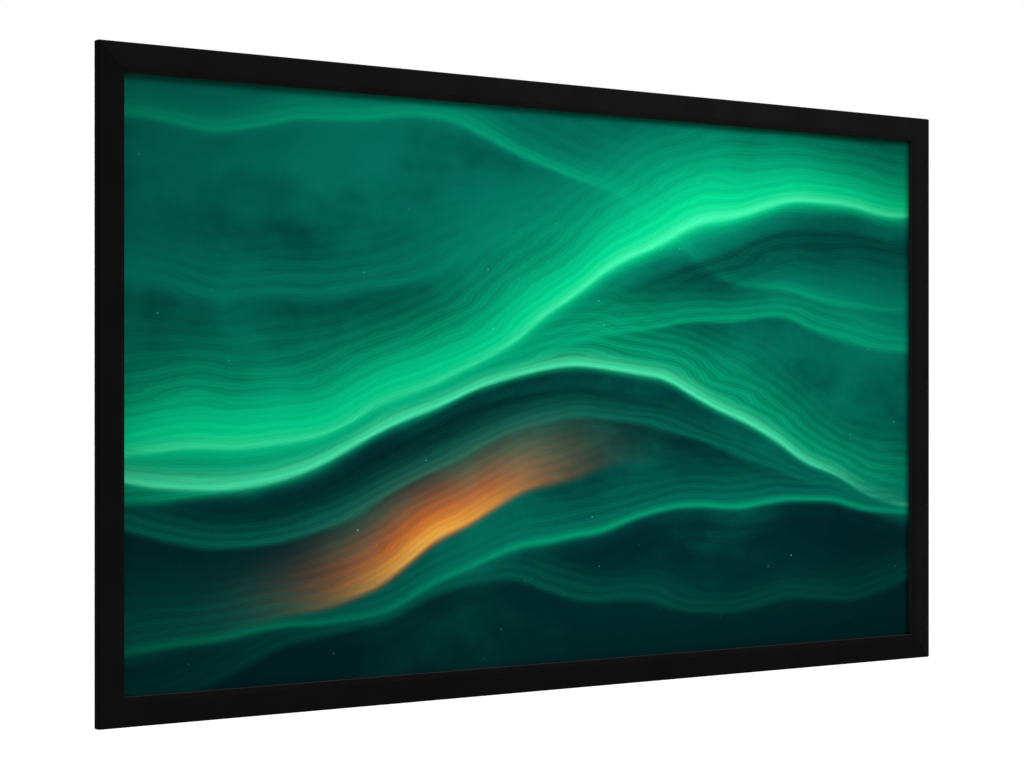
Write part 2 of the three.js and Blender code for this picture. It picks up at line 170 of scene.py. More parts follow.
def mottled(fine, broad, fineShare, contrast):  # a mask from two noises, spread about its middle
    low, high = 0.5 - contrast / 2, 0.5 + contrast / 2
    return (fine * fineShare + broad * (1 - fineShare)).risen(low, high)


def bump(height, depth, strength):
    return height.node("ShaderNodeBump", {}, {"Height": height, "Distance": depth, "Strength": strength})


# Camera

camera = {
    "place": (-3.3959, -4.4063, -0.0296),
    "turn": -36.474,  # degrees to the right of straight ahead
    "lens": 86.451,
    "shiftUp": 0.01525,
}


def addCamera():
    data = bpy.data.cameras.new("camera")
    data.sensor_width = 36
    data.lens = camera["lens"]
    data.shift_y = camera["shiftUp"]
    made = bpy.data.objects.new("camera", data)
    made.location = camera["place"]
    made.rotation_euler = (math.radians(90), 0, math.radians(camera["turn"]))
    bpy.context.scene.collection.objects.link(made)
    bpy.context.scene.camera = made


addCamera()
print("camera placed")


# Studio: pale floor, white surround and plain soft light

studio = {
    "floorDrop": 1.38,  # below the middle of the screen
    "floorSize": 120,
    "floorColour": 0.4,
    "floorLift": 0.66,  # what the floor shows on top of the light that falls on it
    "roomLevel": 0.22,
    "suns": {  # strength, spread in degrees and where each one stands
        "high_sun": (2.95, 24, (0.55, -0.50, 0.67)),
        "side_sun": (0.7, 30, (-0.96, -0.18, 0.20)),
        "back_sun": (1.3, 50, (-0.30, 0.80, 0.52)),
    },
    "keyPlace": (0.6, -1.3, 1.7),
    "keySize": 1.0,
    "keyPower": 17,
}


def seen(shade):  # 1 for what the camera sees, straight or by reflection or through glass
    path = shade.node("ShaderNodeLightPath").socket.node
    kinds = ["Is Camera Ray", "Is Glossy Ray", "Is Transmission Ray"]
    straight, glossy, through = [Shade(shade.tree, path.outputs[kind]) for kind in kinds]
    return (straight + glossy + through).clamped()


def addFloor():
    half = studio["floorSize"] / 2
    mesh = bpy.data.meshes.new("floor")
    corners = [(-half, -half), (half, -half), (half, half), (-half, half)]
    mesh.from_pydata([(x, y, -studio["floorDrop"]) for x, y in corners], [], [(0, 1, 2, 3)])
    made = bpy.data.objects.new("floor", mesh)
    bpy.context.scene.collection.objects.link(made)
    material, shade = newMaterial("floor_paint")
    surface(shade, {
        "Base Color": grey(studio["floorColour"]),
        "Roughness": 1.0,
        "Specular IOR Level": 0.0,
        "Emission Color": seen(shade).blend(grey(0.0), grey(studio["floorLift"])),
        "Emission Strength": 1.0,
    })
    mesh.materials.append(material)


def addRoom():
    world = bpy.data.worlds.new("room")
    world.use_nodes = True
    world.node_tree.nodes.clear()
    shade = Shade(world.node_tree)
    level = seen(shade).blend(grey(studio["roomLevel"]), grey(1.0))
    glow = shade.node("ShaderNodeBackground", {}, {"Color": level, "Strength": 1.0})
    shade.node("ShaderNodeOutputWorld", {}, {"Surface": glow})
    bpy.context.scene.world = world


def addLamp(name, kind, settings, at):  # every lamp looks at the middle of the screen
    lamp = bpy.data.lights.new(name, kind)
    for key, value in settings.items():
        setattr(lamp, key, value)
    made = bpy.data.objects.new(name, lamp)
    made.location = at
    made.rotation_euler = (-made.location).to_track_quat("-Z", "Y").to_euler()
    bpy.context.scene.collection.objects.link(made)


addFloor()
addRoom()
for name, (strength, spread, at) in studio["suns"].items():
    addLamp(name, "SUN", {"energy": strength, "angle": math.radians(spread)}, at)
addLamp("key", "AREA", {"energy": studio["keyPower"], "size": studio["keySize"]}, studio["keyPlace"])
bpy.context.scene.view_settings.view_transform = "Standard"
print("studio lit")


# Finishes

velvetFinish = {
    "dark": 0.0048,
    "light": 0.0063,
    "lip": 0.016,  # painted light: a lighter colour on the faces that turn in over the nose towards the screen
    "lipStart": 0.5,  # how far a face has to turn inwards to show that, from 0 to 1
    "lipEnd": 0.95,
    "cloudScale": 9,  # slow drift of the pile's lie
    "pileScale": 2600,
    "pileShare": 0.4,
    "pileDepth": 0.0002,
    "pileStrength": 0.6,
    "contrast": 0.4,
    "lean": 0.24,  # how far the pile lies outwards on each side of the frame
    "sheen": 0.015,
    "sheenRoughness": 0.45,
}


def velvetMaterial(side, outX, outZ):
    v = velvetFinish
    material, shade = newMaterial("velvet_pile_" + side)
    spot = place(shade)
    cloud = noise(spot, v["cloudScale"], 3)
    pile = noise(spot, v["pileScale"], 2, 0.7)
    tone = mottled(pile, cloud, v["pileShare"], v["contrast"])
    face = shade.node("ShaderNodeNewGeometry", {}, {}, 1)
    middle = (-outX, 0, -outZ)  # the way to the middle of the frame
    inwards = face.node("ShaderNodeVectorMath", {"operation": "DOT_PRODUCT"}, {0: face, 1: middle}, 1)
    # faces turned inwards, towards the screen, get a lighter colour: painted light on the nose walls
    lip = inwards.risen(v["lipStart"], v["lipEnd"])
    lean = (outX * v["lean"], 0, outZ * v["lean"])
    leaning = face.node("ShaderNodeVectorMath", {"operation": "ADD"}, {0: face, 1: lean})
    leaning = leaning.node("ShaderNodeVectorMath", {"operation": "NORMALIZE"}, {0: leaning})
    relief = pile.node("ShaderNodeBump", {}, {
        "Height": pile,
        "Distance": v["pileDepth"],
        "Strength": v["pileStrength"],
        "Normal": leaning,
    })
    surface(shade, {
        "Base Color": lip.blend(tone.blend(grey(v["dark"]), grey(v["light"])), grey(v["lip"])),
        "Roughness": 1.0,
        "Specular IOR Level": 0.0,
        "Sheen Weight": v["sheen"],
        "Sheen Roughness": v["sheenRoughness"],
        "Normal": relief,
    })
    return material


aluminiumFinish = {
    "dark": (0.017, 0.0172, 0.0185, 1),
    "light": (0.027, 0.0275, 0.0295, 1),
    "contrast": 0.4,
    "metallic": 0.75,
    "roughness": 0.36,
    "roughnessSpread": 0.16,
    "lineScale": 900,
    "lineShare": 0.55,
    "lineDepth": 0.00006,
    "lineStrength": 0.7,
    "along": 0.012,  # the die lines' scale lengthways, as a share of their scale across
    "cloudScale": 14,
}


def aluminiumMaterial(name, lengthways):  # anodised, with the die's fine lines along the extrusion
    a = aluminiumFinish
    material, shade = newMaterial(name)
    spot = place(shade)
    squeeze = [a["along"] if axis == lengthways else 1 for axis in "xyz"]
    lines = noise(stretched(spot, squeeze), a["lineScale"], 3, 0.6)
    cloud = noise(spot, a["cloudScale"], 3)
    tone = mottled(lines, cloud, a["lineShare"], a["contrast"])
    surface(shade, {
        "Base Color": tone.blend(a["dark"], a["light"]),
        "Metallic": a["metallic"],
        "Roughness": a["roughness"] + lines * a["roughnessSpread"],
        "Normal": bump(lines, a["lineDepth"], a["lineStrength"]),
    })
    return material


steelFinish = {
    "contrast": 0.3,
    "metallic": 0.95,
    "roughnessSpread": 0.16,
    "grainShare": 0.5,
    "grainDepth": 0.00003,
    "grainStrength": 0.5,
    "cloudBreadth": 12,  # how much broader the clouds are than the grain
    "zinc": {
        "dark": (0.37, 0.375, 0.38, 1),
        "light": (0.47, 0.48, 0.50, 1),
        "roughness": 0.34,
        "grainScale": 160,
    },
    "spring": {
        "dark": (0.46, 0.46, 0.47, 1),
        "light": (0.66, 0.66, 0.67, 1),
        "roughness": 0.24,
        "grainScale": 420,
    },
    "oxide": {
        "dark": (0.010, 0.010, 0.011, 1),
        "light": (0.020, 0.020, 0.021, 1),
        "roughness": 0.42,
        "grainScale": 520,
    },
}


def steelMaterial(name):
    s = steelFinish
    own = s[name]
    material, shade = newMaterial(name + "_steel_finish")
    spot = place(shade)
    grain = noise(spot, own["grainScale"], 3, 0.6)
    cloud = noise(spot, own["grainScale"] / s["cloudBreadth"], 2)
    tone = mottled(grain, cloud, s["grainShare"], s["contrast"])
    surface(shade, {
        "Base Color": tone.blend(own["dark"], own["light"]),
        "Metallic": s["metallic"],
        "Roughness": own["roughness"] + cloud * s["roughnessSpread"],
        "Normal": bump(grain, s["grainDepth"], s["grainStrength"]),
    })
    return material


filmFinish = {
    "backing": (0.009, 0.009, 0.0095, 1),
    "backingLight": (0.015, 0.015, 0.016, 1),
    "hem": (0.42, 0.43, 0.43, 1),
    "hemLight": (0.50, 0.51, 0.51, 1),
    "contrast": 0.4,
    "gloss": 0.12,
    "roughness": 0.62,
    "roughnessSpread": 0.1,
    "grainScale": 1800,
    "grainShare": 0.5,
    "grainDepth": 0.00004,
    "grainStrength": 0.5,
    "cloudScale": 5,
    "litRoughness": 0.8,
    "litGrainStrength": 0.3,
}


def filmGrain(spot):
    return noise(spot, filmFinish["grainScale"], 2, 0.6)


def filmMaterial(name, dark, light):  # plain film, without an image on it
    f = filmFinish
    material, shade = newMaterial(name)
    spot = place(shade)
    grain = filmGrain(spot)
    cloud = noise(spot, f["cloudScale"], 3)
    tone = mottled(grain, cloud, f["grainShare"], f["contrast"])
    surface(shade, {
        "Base Color": tone.blend(dark, light),
        "Roughness": f["roughness"] + grain * f["roughnessSpread"],
        "Specular IOR Level": f["gloss"],
        "Normal": bump(grain, f["grainDepth"], f["grainStrength"]),
    })
    return material


# The image: folds of light that rise from the lower left to the upper right over dark blue-green

# A ribbon lies along level + slope * x + swing * sin(rate * x + start), in metres, and fades out above and
# below that. It has lines of a depth, a strength, and a spot where it shows: its middle and half width.
def ribbon(colour, level, slope, swing, rate, start, above, below, lines, depth, strength, spot=None):
    return {
        "colour": colour, "level": level, "slope": slope, "swing": swing, "rate": rate, "start": start,
        "above": above, "below": below, "lines": lines, "depth": depth, "strength": strength, "spot": spot,
    }


picture = {
    "ground": paint(2, 50, 50),
    "pool": paint(4, 108, 90),
    "foot": paint(1, 26, 29),
    "teal": paint(4, 116, 95),
    "green": paint(4, 178, 124),
    "bright": paint(6, 230, 150),
    "glow": paint(90, 252, 190),
    "dark": paint(2, 32, 35),
    "amber": paint(240, 112, 4),
    "gold": paint(255, 190, 72),
    "ribbons": [  # from the back to the front
        ribbon("teal", 0.42, -0.16, 0.10, 2.6, 2.4, 0.16, 0.020, 170, 0.45, 0.9),
        ribbon("green", 0.42, -0.16, 0.10, 2.6, 2.4, 0.030, 0.007, 420, 0.40, 0.55),
        ribbon("teal", 0.27, -0.02, 0.09, 3.0, 1.2, 0.11, 0.016, 210, 0.45, 0.8),
        ribbon("green", 0.17, 0.20, 0.15, 2.4, 0.2, 0.190, 0.030, 190, 0.45, 0.9),
        ribbon("bright", 0.17, 0.20, 0.15, 2.4, 0.2, 0.080, 0.012, 330, 0.40, 0.95),
        ribbon("glow", 0.17, 0.20, 0.15, 2.4, 0.2, 0.016, 0.005, 620, 0.35, 0.55),
        ribbon("dark", 0.07, 0.21, 0.16, 2.35, 0.3, 0.020, 0.110, 170, 0.35, 0.75),
        ribbon("green", 0.00, 0.10, 0.14, 2.5, 0.8, 0.060, 0.008, 300, 0.50, 0.6),
        ribbon("green", -0.10, -0.05, 0.17, 2.9, 1.2, 0.130, 0.012, 240, 0.50, 0.85),
        ribbon("glow", -0.10, -0.05, 0.17, 2.9, 1.2, 0.022, 0.005, 460, 0.40, 0.65),
        ribbon("dark", -0.17, -0.05, 0.16, 2.9, 1.25, 0.020, 0.130, 150, 0.35, 0.85),
        ribbon("teal", -0.20, 0.02, 0.12, 3.3, 1.1, 0.050, 0.008, 320, 0.50, 0.65),
        ribbon("amber", -0.30, 0.18, 0.08, 3.4, 0.9, 0.095, 0.010, 260, 0.40, 1.0, (-0.36, 0.26)),
        ribbon("gold", -0.30, 0.18, 0.08, 3.4, 0.9, 0.034, 0.007, 480, 0.35, 0.95, (-0.38, 0.18)),
        ribbon("teal", -0.40, 0.10, 0.07, 3.1, 0.4, 0.085, 0.010, 280, 0.50, 0.85),
        ribbon("green", -0.40, 0.10, 0.07, 3.1, 0.4, 0.014, 0.005, 520, 0.40, 0.6),
        ribbon("dark", -0.45, 0.09, 0.07, 3.1, 0.45, 0.020, 0.090, 150, 0.35, 0.7),
        ribbon("teal", -0.52, 0.05, 0.05, 3.6, 2.1, 0.050, 0.008, 340, 0.50, 0.55),
    ],
    "poolStretch": (1, 1, 1.6),
    "poolScale": 1.6,
    "poolClimb": 0.25,  # added to the pool's noise for each metre upwards
    "poolRange": (0.36, 0.72),
    "driftScale": 1.25,
    "wander": 0.30,  # how far the ribbons stray from their curves
    "fineStretch": (1.2, 1, 6),
    "fineScale": 3.0,
    "broadLine": 0.3,
    "broadWaver": 9,
    "thinLine": 0.2,
    "thinWaver": 11,
    "fineness": 3.3,  # how many thin lines lie in each broad one
    "dustScale": 20,
    "dustSize": 0.06,
    "dustRange": (-0.1, 0.25),
    "dustStrength": 0.8,
    "edgeBend": (0.55, 1.5),  # how fast the picture darkens sideways and upwards
    "edgeRange": (0.25, 1.2),
    "edgeShade": 0.5,
    "footRange": (0.30, 0.66),  # below the middle, in metres
    "footShade": 0.7,
}


def ribbonMask(fold, x, z, drift, fine):  # where one ribbon of light shows, and how strongly
    p = picture
    curve = (x * fold["rate"] + fold["start"]).sine() * fold["swing"] + x * fold["slope"]
    height = z - fold["level"] - curve - drift * p["wander"]
    over = height.math("GREATER_THAN", height, 0)
    mask = height.hump(over * (fold["above"] - fold["below"]) + fold["below"])
    turns = height * fold["lines"] + fine * p["broadWaver"]
    thin = turns * p["fineness"] + fine * p["thinWaver"]
    lines = turns.sine() * p["broadLine"] + thin.sine() * p["thinLine"] + 0.5
    mask = mask * (lines * fold["depth"] + (1 - fold["depth"])) * fold["strength"]
    if fold["spot"]:
        middle, half = fold["spot"]
        mask = mask * (x - middle).hump(half)
    return mask


def pictureColour(shade):  # folded ribbons of light over dark blue-green
    p = picture
    spot = place(shade)
    x, _, z = axes(spot)
    drift = noise(spot, p["driftScale"], 2) - 0.5
    fine = noise(stretched(spot, p["fineStretch"]), p["fineScale"], 4) - 0.5
    pool = noise(stretched(spot, p["poolStretch"]), p["poolScale"], 5, 0.6) + z * p["poolClimb"]
    colour = pool.risen(*p["poolRange"]).blend(p["ground"], p["pool"])
    for fold in p["ribbons"]:
        colour = ribbonMask(fold, x, z, drift, fine).blend(colour, p[fold["colour"]])
    dust = shade.node("ShaderNodeTexVoronoi", {}, {"Vector": spot, "Scale": p["dustScale"]})
    specks = (1 - dust.risen(0, p["dustSize"])) * fine.risen(*p["dustRange"]) * p["dustStrength"]
    colour = specks.blend(colour, p["glow"])
    bendX, bendZ = p["edgeBend"]
    edge = (x * x * bendX + z * z * bendZ).risen(*p["edgeRange"]) * p["edgeShade"]
    colour = edge.blend(colour, p["foot"])
    foot = (z * -1).risen(*p["footRange"]) * p["footShade"]
    return foot.blend(colour, p["foot"])


def pictureMaterial():
    material, shade = newMaterial("lit_screen_film")
    grain = filmGrain(place(shade))
    surface(shade, {
        "Base Color": pictureColour(shade),
        "Roughness": filmFinish["litRoughness"],
        "Specular IOR Level": 0.0,
        "Normal": bump(grain, filmFinish["grainDepth"], filmFinish["litGrainStrength"]),
    })
    return material


velvets = {
    "top": velvetMaterial("top", 0, 1),
    "right": velvetMaterial("right", 1, 0),
    "bottom": velvetMaterial("bottom", 0, -1),
    "left": velvetMaterial("left", -1, 0),
}
railMaterials = {
    "x": aluminiumMaterial("anodised_across", "x"),
    "z": aluminiumMaterial("anodised_upright", "z"),
}
zincSteel = steelMaterial("zinc")
springSteel = steelMaterial("spring")
screwSteel = steelMaterial("oxide")
litFilm = pictureMaterial()
backing = filmMaterial("black_backing", filmFinish["backing"], filmFinish["backingLight"])
hemFilm = filmMaterial("hem_film", filmFinish["hem"], filmFinish["hemLight"])
print("finishes made")


# Meshes. A section has two lengths: inwards from the outer edge and back from the front face.

def sideReach(turn):  # from the middle of a side to its end
    return (outerHeight if turn % 2 else outerWidth) / 2


def onSide(turn, along, inwards, depth):  # a place on one of the four sides, as a vertex in metres
    x, z = along, sideReach(turn + 1) - inwards
    for _ in range(turn):
        x, z = z, -x
    return (x * mm, (frontFace + depth) * mm, z * mm)


def reshape(mesh, change):  # works on a mesh through bmesh
    form = bmesh.new()
    form.from_mesh(mesh)
    change(form)
    form.to_mesh(mesh)
    form.free()


mergeWithin = 0.001  # points nearer than this are one


def addPiece(name, vertices, faces, materials, slot, replaced, smoothTo):
    mesh = bpy.data.meshes.new(name)
    mesh.from_pydata(vertices, [], faces)
    reshape(mesh, lambda form: bmesh.ops.remove_doubles(form, verts=form.verts, dist=mergeWithin * mm))
    for material in materials:
        mesh.materials.append(material)
    mesh.shade_smooth()
    mesh.set_sharp_from_angle(angle=math.radians(smoothTo))
    made = bpy.data.objects.new(name, mesh)
    bpy.context.scene.collection.objects.link(made)
    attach(made, "root")
    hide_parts(*replaced)
    return made


def fillet(corner, before, after, radius, steps):  # points that round one corner of a path
    (x, y), (bx, by), (ax, ay) = corner, before, after
    back = math.hypot(bx - x, by - y)
    on = math.hypot(ax - x, ay - y)
    inX, inY, outX, outY = (bx - x) / back, (by - y) / back, (ax - x) / on, (ay - y) / on
    half = math.acos(max(-1, min(1, inX * outX + inY * outY))) / 2
    reach = radius / math.tan(half)
    middleX, middleY = inX + outX, inY + outY
    scale = radius / math.sin(half) / math.hypot(middleX, middleY)
    centreX, centreY = x + middleX * scale, y + middleY * scale
    start = math.atan2(y + inY * reach - centreY, x + inX * reach - centreX)
    end = math.atan2(y + outY * reach - centreY, x + outX * reach - centreX)
    sweep = (end - start + math.pi) % (2 * math.pi) - math.pi
    angles = [start + sweep * i / steps for i in range(steps + 1)]
    return [(centreX + radius * math.cos(a), centreY + radius * math.sin(a)) for a in angles]


def roundedPath(corners):  # corners are (place, radius, steps), and a radius of 0 stays sharp
    points = []
    for i, (corner, radius, steps) in enumerate(corners):
        if radius > 0:
            points += fillet(corner, corners[i - 1][0], corners[i + 1][0], radius, steps)
        else:
            points.append(corner)
    return points


def capped(rows):  # quads between closed rows of points that have the same count, and a cap at each end
    count = len(rows[0])
    vertices = [point for row in rows for point in row]
    faces = []
    for here in range(0, len(vertices) - count, count):
        for j in range(count):
            k = (j + 1) % count
            faces.append((here + j, here + k, here + count + k, here + count + j))
    first = range(count)
    last = range(len(vertices) - count, len(vertices))
    return vertices, [*faces, tuple(first)[::-1], tuple(last)]


# Velvet covers

stileLow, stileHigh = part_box("left_stile_velvet")
cover = {
    "flatWidth": 48,
    "borderWidth": round((stileHigh.x - stileLow.x) / mm, 3),
    "bevelDrop": 4,
    "sideDepth": round((stileHigh.y - stileLow.y) / mm, 3),
    "noseDepth": 15.1,
    "turned": 4,  # across the rail's wrapped edges, with the velvet on both sides
    "flangeTuck": 10,  # where the turned edges end
    "noseTuck": 11,
    "edgeRadius": 4,
    "creaseRadius": 2.2,
    "noseRadius": 1.3,
    "foldRadius": 1.1,
    "thickness": 0.8,
    "cornerRadius": 4,
    "cornerSteps": 8,
    "seam": 0.06,  # between two covers
}


def coverPath(inset):  # the cover's line, set back from its face by an inset
    c = cover
    slope = math.atan2(c["bevelDrop"], c["borderWidth"] - c["flatWidth"])
    nose = c["borderWidth"] - inset
    bevel = (nose - c["flatWidth"]) * math.tan(slope) + inset / math.cos(slope)
    turnedFlange = c["turned"] - inset
    turnedNose = c["borderWidth"] - c["turned"] + inset
    fold = c["foldRadius"] - inset
    return roundedPath([
        ((turnedFlange, c["flangeTuck"]), 0, 0),
        ((turnedFlange, c["sideDepth"] - inset), fold, 5),
        ((inset, c["sideDepth"] - inset), fold, 5),
        ((inset, inset), c["edgeRadius"] - inset, 12),
        ((c["flatWidth"] - inset * math.tan(slope / 2), inset), c["creaseRadius"] - inset, 4),
        ((nose, bevel), c["noseRadius"] - inset, 6),
        ((nose, c["noseDepth"] - inset), fold, 5),
        ((turnedNose, c["noseDepth"] - inset), fold, 5),
        ((turnedNose, c["noseTuck"]), 0, 0),
    ])


def cornerRows(section, reach):  # the section's rows round a mitred corner, from the straight part
    steps = cover["cornerSteps"]
    radius = cover["cornerRadius"]
    start = reach - cover["seam"] / math.sqrt(2) - radius
    rows = []
    for i in range(steps + 1):
        angle = math.pi / 4 * i / steps
        row = []
        for inwards, depth in section:
            spread = radius - inwards
            swing = spread > 0
            along = start + spread * (math.sin(angle) if swing else 1)
            row.append((along, radius - spread * math.cos(angle) if swing else inwards, depth))
        rows.append(row)
    return rows


def addCovers():
    section = coverPath(0) + coverPath(cover["thickness"])[::-1]
    for turn, side in enumerate(sides):
        right = cornerRows(section, sideReach(turn))
        left = [[(-along, inwards, depth) for along, inwards, depth in row] for row in right[::-1]]
        if turn % 2:
            parts = {side + "_stile": left + right}
        else:
            first, second = ("left", "right") if side == "top" else ("right", "left")
            halves = [[(hand * cover["seam"] / 2, *point) for point in section] for hand in (-1, 1)]
            parts = {
                f"{side}_rail_{first}": [*left, halves[0]],
                f"{side}_rail_{second}": [halves[1], *right],
            }
        for rail, rows in parts.items():
            placed = [[onSide(turn, *point) for point in row] for row in rows]
            piece = addPiece("velvet_on_" + rail, *capped(placed), [velvets[side]], "border_velvet",
                             [rail + "_velvet"], 50)
            piece.modifiers.new("even_faces", "WEIGHTED_NORMAL").keep_sharp = True


addCovers()
print("velvet covers wrapped")


# Screen film with its hems round the tension rods

sheet = {
    "setback": round(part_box("screen_fabric")[0].y / mm - frontFace, 3),
    "thickness": 0.4,
    "rodInset": 49.7,
    "rodDepth": 18.1,
    "nose": 57,  # where the sheet's corners stop, behind the border
    "pocketEnd": 64,
    "wrapRadius": 2.5,
    "wrapSteps": 10,
    "weldStart": 58,
    "weldEnd": 72,
    "weldGap": 0.06,  # between the sheet and its hem
    "cornerCut": 6,  # keeps the hems of two sides clear of each other
    "window": 12,  # the hem's opening at each spring
}

springs = {
    "pitch": 200,  # the most that lies between two springs
    "margin": 30,
    "ribHook": 34.6,  # the groove in the rail's rib, inwards
    "ribHookDepth": 14.8,
    "coilStart": 38,
    "coilEnd": 46,
    "coilRadius": 2.05,
    "wireRadius": 0.41,
    "wireSides": 8,
    "turns": 8,
    "turnSteps": 16,
    "hookGap": 0.06,
    "rodRadius": 2,
    "rodSides": 20,
    "rodOverhang": 3,
}


def springPlaces(turn):
    half = sideReach(turn) - sheet["pocketEnd"] - springs["margin"]
    count = 2 * math.ceil(half / springs["pitch"])
    return [half * (2 * i / (count - 1) - 1) for i in range(count)]


def windowEdges(turn):  # where each stretch of hem starts and ends, in turn
    half = sheet["window"] / 2
    end = sideReach(turn) - sheet["pocketEnd"]
    return [-end, *[p + hand * half for p in springPlaces(turn) for hand in (-1, 1)], end]


def hemPath():  # half way through the film, from the sheet's edge round the rod to the weld
    s = sheet
    angles = [math.pi * i / s["wrapSteps"] for i in range(1, s["wrapSteps"] + 1)]
    wrap = [
        (s["rodInset"] - s["wrapRadius"] * math.sin(a), s["rodDepth"] - s["wrapRadius"] * math.cos(a))
        for a in angles
    ]
    layer = s["setback"] + s["thickness"] * 1.5 + s["weldGap"]
    back = s["rodDepth"] + s["wrapRadius"]
    slope = [  # off the rod and down to the weld, easing in at both ends
        (s["rodInset"] + 2.2, back - 0.3),
        (s["rodInset"] + 5.2, (back + layer) / 2 - 0.1),
        (s["weldStart"] - 1, layer + 0.35),
        (s["weldStart"] + 1, layer),
    ]
    return [*wrap, *slope, (s["weldEnd"], layer)]


def gridLines(turn):  # the places along a side where the flat sheet is divided, so that its hems join it
    steps = [sheet["rodInset"], sheet["nose"], sheet["pocketEnd"]]
    corners = [hand * (sideReach(turn) - step) for step in steps for hand in (-1, 1)]
    return sorted({round(line, 3) for line in [*corners, *windowEdges(turn)]})


def sheetMesh():  # its points, its faces with the flat ones first, and how many are flat
    s = sheet
    depth = s["setback"] + s["thickness"] / 2
    steps = [  # film lies further in than one of these pairs, sideways and upwards
        (s["rodInset"], s["pocketEnd"]),
        (s["nose"], s["nose"]),
        (s["pocketEnd"], s["rodInset"]),
    ]
    slack = 0.01
    xs, zs = gridLines(0), gridLines(1)
    vertices, faces, found = [], [], {}

    def vertex(x, d, z):  # the number of the point there, which its neighbours share
        key = (round(x, 3), round(d, 3), round(z, 3))
        if key not in found:
            found[key] = len(vertices)
            vertices.append((x * mm, (frontFace + d) * mm, z * mm))
        return found[key]

    for x0, x1 in zip(xs, xs[1:]):
        for z0, z1 in zip(zs, zs[1:]):
            sideways = sideReach(0) - max(abs(x0), abs(x1))
            upwards = sideReach(1) - max(abs(z0), abs(z1))
            if any(sideways > a - slack and upwards > b - slack for a, b in steps):
                faces.append([vertex(x, depth, z) for x, z in ((x0, z0), (x1, z0), (x1, z1), (x0, z1))])
    flatCount = len(faces)
    path = [(s["rodInset"], depth), *hemPath()]
    for turn in range(4):
        reach = sideReach(turn)
        edges = windowEdges(turn)
        for start, end in zip(edges[::2], edges[1::2]):
            rows = []
            for along in (start, end):
                row = []
                for inwards, d in path:
                    limit = reach - max(s["pocketEnd"], inwards + s["cornerCut"])
                    x, y, z = onSide(turn, max(-limit, min(limit, along)), inwards, d)
                    row.append(vertex(x / mm, d, z / mm))
                rows.append(row)
            for i in range(len(path) - 1):
                faces.append([rows[0][i], rows[1][i], rows[1][i + 1], rows[0][i + 1]])
    return vertices, faces, flatCount


def addSheet():
    vertices, faces, flatCount = sheetMesh()
    made = addPiece("screen_film", vertices, faces, [litFilm, backing, hemFilm, backing],
                    "screen_surface", ["screen_fabric"], 60)
    for polygon in made.data.polygons:
        polygon.material_index = 0 if polygon.index < flatCount else 2
    thicken = made.modifiers.new("film_thickness", "SOLIDIFY")
    thicken.thickness = sheet["thickness"] * mm
    thicken.offset = 0
    thicken.use_even_offset = True
    thicken.material_offset = 1  # the next material is the back of each one
    thicken.material_offset_rim = 1
    return made


film = addSheet()
print("screen film stretched")


# Tension rods and springs

def fullTurn(count):  # angles spread evenly round a circle
    return [2 * math.pi * i / count for i in range(count)]


def tube(path, radius, facets):  # a closed round tube along points, with a frame that doesn't twist
    points = [Vector(point) for point in path]
    before = [points[0], *points[:-1]]
    after = [*points[1:], points[-1]]
    tangents = [(far - near).normalized() for near, far in zip(before, after)]
    normal = tangents[0].orthogonal().normalized()
    rows = []
    for point, tangent in zip(points, tangents):
        normal = (normal - tangent * normal.dot(tangent)).normalized()
        other = tangent.cross(normal)
        rows.append([
            point + (normal * math.cos(a) + other * math.sin(a)) * radius for a in fullTurn(facets)
        ])
    return capped(rows)


def springPath():  # (along, inwards, depth) from the hook in the rib's groove to the hook round the rod
    s = springs
    axis = sheet["rodDepth"]
    start = s["coilStart"] + s["wireRadius"]
    pitch = (s["coilEnd"] - s["coilStart"] - 2 * s["wireRadius"]) / s["turns"]
    radius = s["coilRadius"]
    path = [
        (0, s["ribHook"], s["ribHookDepth"]),
        (0, s["ribHook"], axis - 1.0),
        (0, s["ribHook"] + 0.12, axis - 0.5),
        (0, s["ribHook"] + 0.5, axis - 0.12),
        (0, s["ribHook"] + 1.0, axis),
        (0, s["coilStart"] - 0.9, axis),
        (0, s["coilStart"] - 0.4, axis + 0.3),
        (0, s["coilStart"] + 0.1, axis + radius * 0.6),
    ]
    for i in range(s["turns"] * s["turnSteps"] + 1):
        angle = 2 * math.pi * i / s["turnSteps"]
        inwards = start + pitch * i / s["turnSteps"]
        path.append((radius * math.sin(angle), inwards, axis + radius * math.cos(angle)))
    hook = s["rodRadius"] + s["wireRadius"] + s["hookGap"]
    path.append((0, sheet["rodInset"] - 1.6, axis + hook - 0.08))
    for degrees in range(90, -41, -13):
        angle = math.radians(degrees)
        path.append((0, sheet["rodInset"] + hook * math.cos(angle), axis + hook * math.sin(angle)))
    return path


def addRods():
    rod = springs["rodRadius"]
    spring = springPath()
    for turn, side in enumerate(sides):
        end = sideReach(turn) - sheet["pocketEnd"] + springs["rodOverhang"]
        profile = [(-end, rod * 0.55), (-end + 0.5, rod * 0.9), (-end + 1, rod)]  # a turned end
        profile += [(-along, radius) for along, radius in profile[::-1]]
        rows = []
        for along, radius in profile:
            row = []
            for a in fullTurn(springs["rodSides"]):
                inwards = sheet["rodInset"] + radius * math.cos(a)
                row.append(onSide(turn, along, inwards, sheet["rodDepth"] + radius * math.sin(a)))
            rows.append(row)
        vertices, faces = capped(rows)
        for spot in springPlaces(turn):
            path = [onSide(turn, spot + along, inwards, depth) for along, inwards, depth in spring]
            wire, quads = tube(path, springs["wireRadius"] * mm, springs["wireSides"])
            faces += [tuple(len(vertices) + i for i in quad) for quad in quads]
            vertices = [*vertices, *wire]
        addPiece(side + "_rod_and_springs", vertices, faces, [springSteel], "spring_steel",
                 ["tension_rod_" + side], 60)


addRods()
print("rods and springs hooked in")


# Socket screws

